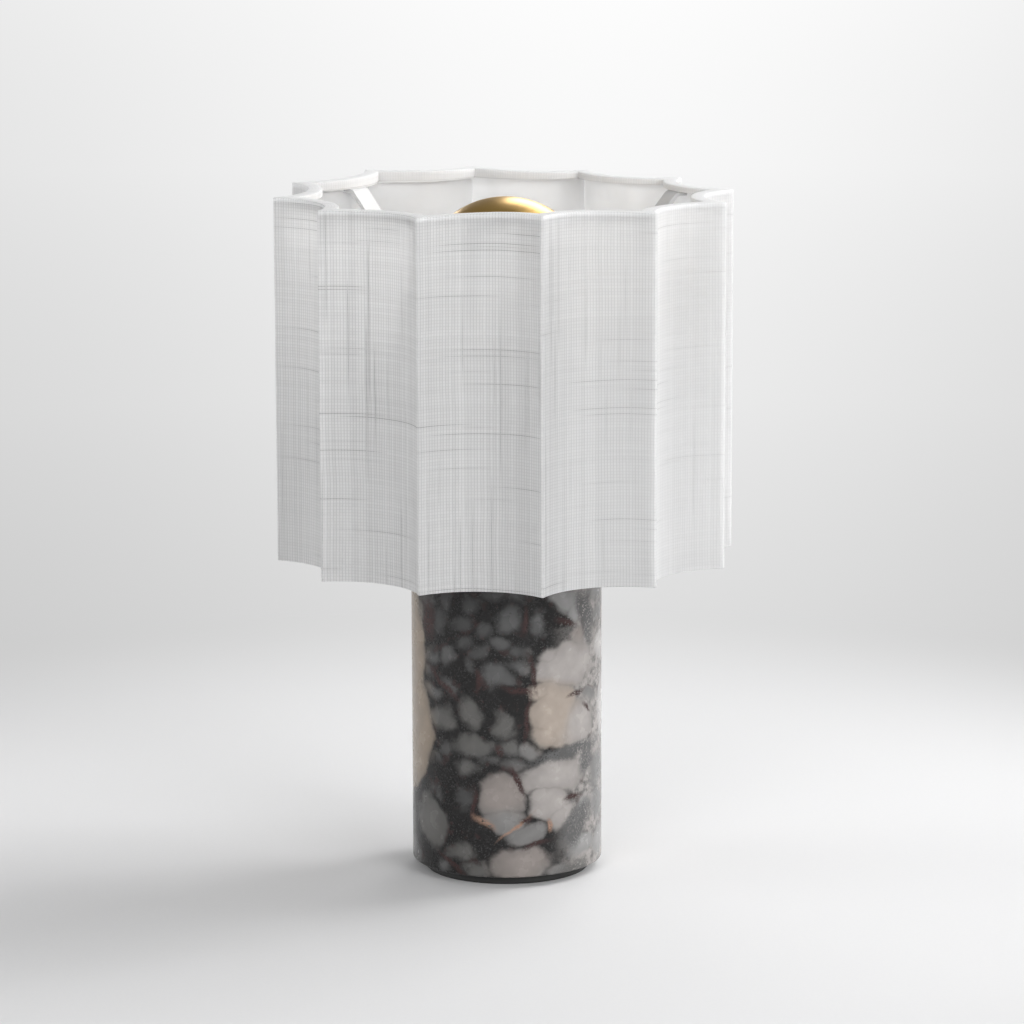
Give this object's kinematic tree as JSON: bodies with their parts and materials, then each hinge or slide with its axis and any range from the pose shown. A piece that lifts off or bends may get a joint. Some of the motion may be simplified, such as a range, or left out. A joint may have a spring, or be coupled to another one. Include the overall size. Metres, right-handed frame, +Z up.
{
  "type": "cordless table lamp",
  "caption": "Cordless table lamp with a round stone column, a push dome of satin brass on top and a fluted fabric shade that lifts off its seat.",
  "frame": {"origin": "on the column's axis, at the surface that the rubber foot stands on", "axes": "+Z up along the column, -Y towards the front of the lamp, the charging socket at +Y"},
  "size_m": [0.1784, 0.1784, 0.268],
  "materials": {
    "foot_rubber": "matte",
    "seal_rubber": "matte",
    "plated_steel": "zinc plated",
    "stone": "polished satin",
    "cap_aluminium": "turned",
    "board_green": "solder mask",
    "led_board_white": "white solder mask",
    "led_phosphor": "gloss",
    "holder_black": "moulded",
    "bezel_black": "moulded",
    "socket_steel": "drawn",
    "cell_wrap": "shrink wrap",
    "loom_black": "braided sleeve",
    "opal_diffuser": "opal",
    "satin_brass": "satin brushed",
    "spring_steel": "drawn wire",
    "bush_white": "moulded",
    "carrier_white": "powder coat",
    "linen": "plain weave",
    "shade_backing": "translucent film"
  },
  "bodies": {
    "base": {"base_gasket": "seal_rubber", "base_plate": "plated_steel", "board_spacers": "holder_black", "cap_gasket": "seal_rubber", "cell_1": "cell_wrap", "cell_2": "cell_wrap", "cell_3": "cell_wrap", "cell_contacts": "plated_steel", "cell_holder_lower": "holder_black", "cell_holder_upper": "holder_black", "charge_board": "board_green", "column_cap": "cap_aluminium", "diffuser": "opal_diffuser", "diffuser_gasket": "seal_rubber", "foot_pad": "foot_rubber", "guide_bush": "bush_white", "guide_plate": "cap_aluminium", "guide_screws": "plated_steel", "head_body": "satin_brass", "led_board": "led_board_white", "led_emitters": "led_phosphor", "led_screws": "plated_steel", "neck_nuts": "plated_steel", "neck_tube": "plated_steel", "port_bezel": "bezel_black", "return_spring": "spring_steel", "stone_base": "stone", "switch_board": "board_green", "switch_screws": "plated_steel", "tact_switch": "holder_black", "tie_nuts": "plated_steel", "tie_rods": "plated_steel", "usb_receptacle": "socket_steel", "wire_loom": "loom_black"},
    "dome": {"dome_cap": "satin_brass", "dome_post": "satin_brass", "retaining_clip": "spring_steel"},
    "slip_washer": {"slip_washer": "bush_white"},
    "shade": {"carrier_ring": "carrier_white", "carrier_arm_1": "carrier_white", "carrier_arm_2": "carrier_white", "carrier_arm_3": "carrier_white", "top_ring": "carrier_white", "bottom_ring": "carrier_white", "top_binding": "linen", "bottom_binding": "linen", "shade_fabric": "linen", "backing_panel_01": "shade_backing", "backing_panel_02": "shade_backing", "backing_panel_03": "shade_backing", "backing_panel_04": "shade_backing", "backing_panel_05": "shade_backing", "backing_panel_06": "shade_backing", "backing_panel_07": "shade_backing", "backing_panel_08": "shade_backing", "backing_panel_09": "shade_backing", "backing_panel_10": "shade_backing", "backing_panel_11": "shade_backing", "backing_panel_12": "shade_backing"}
  },
  "joints": [
    {"name": "dome_press", "type": "slide", "parent": "base", "child": "dome", "axis": [0, 0, -1], "range_m": [0, 0.0012], "stiffness_N_per_m": 1190, "springref_m": -0.0025, "deforming": ["return_spring"]},
    {"name": "shade_turn", "type": "hinge", "parent": "base", "child": "slip_washer", "pos_m": [0, 0, 0.2265], "axis": [0, 0, 1], "continuous": true},
    {"name": "shade_lift", "type": "slide", "parent": "slip_washer", "child": "shade", "axis": [0, 0, 1], "range_m": [0, 0.16]}
  ]
}
